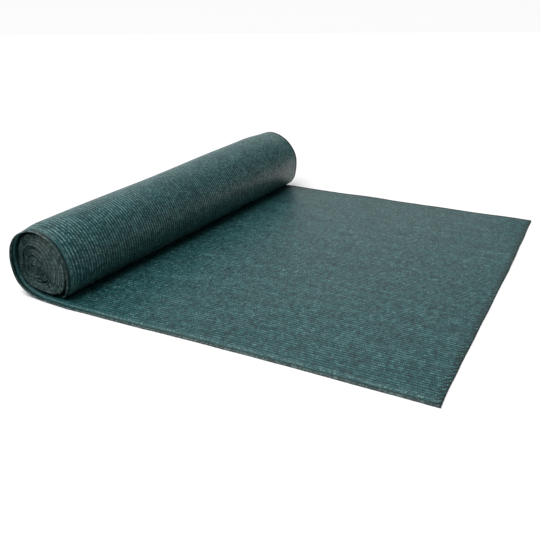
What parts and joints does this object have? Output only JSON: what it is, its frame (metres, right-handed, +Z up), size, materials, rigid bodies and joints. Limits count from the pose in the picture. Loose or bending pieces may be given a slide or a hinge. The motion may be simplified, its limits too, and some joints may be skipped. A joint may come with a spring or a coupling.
{
  "type": "rolled privacy screen netting",
  "caption": "Length of closely knitted privacy netting lying on the ground, its free end unrolled flat and the rest still wound up in a loose roll along one side.",
  "frame": {"origin": "on the ground, under the middle of the bounding box", "axes": "+X along the unrolled cloth from the roll to the free end, +Y along the roll from its near end to its far end, +Z up"},
  "size_m": [0.9056, 1.016, 0.17],
  "materials": {
    "knit": "knitted plastic tape in dark blue-green, open and slightly shiny, with bright stitch loops and darker gaps"
  },
  "bodies": {
    "root": {"netting": "knit"}
  },
  "joints": []
}
